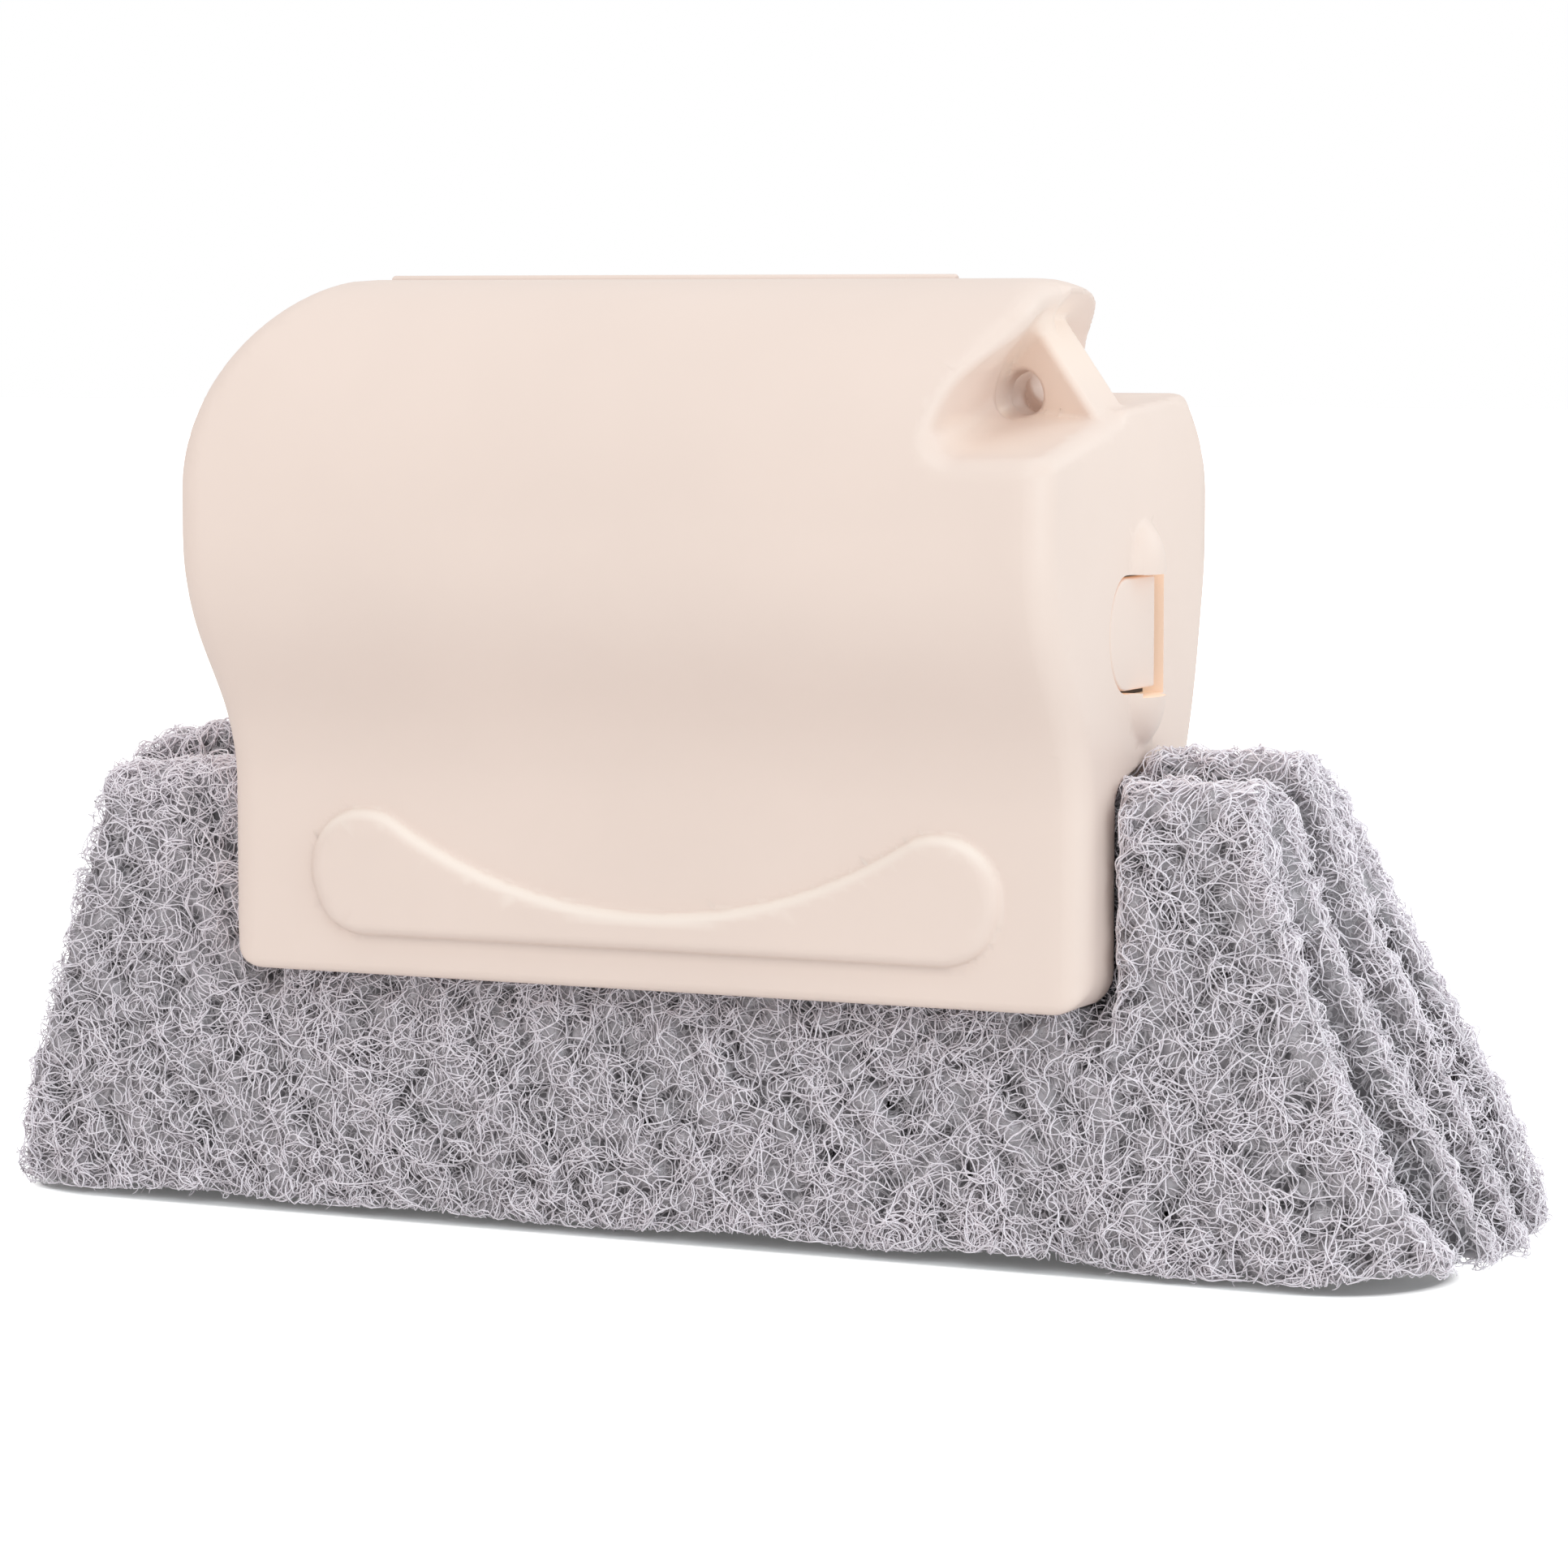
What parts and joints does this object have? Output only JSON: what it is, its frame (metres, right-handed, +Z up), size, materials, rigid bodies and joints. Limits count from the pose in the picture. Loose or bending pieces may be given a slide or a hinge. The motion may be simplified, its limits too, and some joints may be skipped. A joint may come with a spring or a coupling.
{
  "type": "window cleaning brush",
  "caption": "Hand-held window track cleaner: a cream clamshell handle with end latches and a hanging hole, clamping folded grey scouring pads whose leaves fan out below.",
  "frame": {"origin": "centre of the bounding box in X and Y, on the plane the pad leaves stand on", "axes": "+X along the tool's length, towards the shoulder with the hanging hole; -Y is the front, with the raised grip; +Z up, from the leaves to the ridge"},
  "size_m": [0.1486, 0.0412, 0.0887],
  "materials": {
    "cream_polypropylene": "satin",
    "grey_fibre": "rough, open non-woven fibre"
  },
  "bodies": {
    "front_half": {"front_shell": "cream_polypropylene", "living_hinge": "cream_polypropylene"},
    "rear_half": {"rear_shell": "cream_polypropylene"},
    "right_latch": {"latch_tab_right": "cream_polypropylene"},
    "left_latch": {"latch_tab_left": "cream_polypropylene"},
    "front_pad_body": {"front_pad": "grey_fibre"},
    "rear_pad_body": {"rear_pad": "grey_fibre"}
  },
  "joints": [
    {"name": "clamshell_hinge", "type": "hinge", "parent": "front_half", "child": "rear_half", "pos_m": [0, 0, 0.0881], "axis": [1, 0, 0], "range_deg": [0, 150]},
    {"name": "right_latch_flex", "type": "hinge", "parent": "front_half", "child": "right_latch", "pos_m": [0.03776, -0.0057, 0.0565], "axis": [0, 0, -1], "range_deg": [0, 8], "stiffness_Nm_per_rad": 0.005},
    {"name": "left_latch_flex", "type": "hinge", "parent": "front_half", "child": "left_latch", "pos_m": [-0.04764, -0.0057, 0.0565], "axis": [0, 0, 1], "range_deg": [0, 8], "stiffness_Nm_per_rad": 0.005},
    {"name": "front_pad_pull", "type": "slide", "parent": "front_half", "child": "front_pad_body", "axis": [0, 0, -1], "range_m": [0, 0.05]},
    {"name": "rear_pad_pull", "type": "slide", "parent": "rear_half", "child": "rear_pad_body", "axis": [0, 0, -1], "range_m": [0, 0.05]}
  ]
}
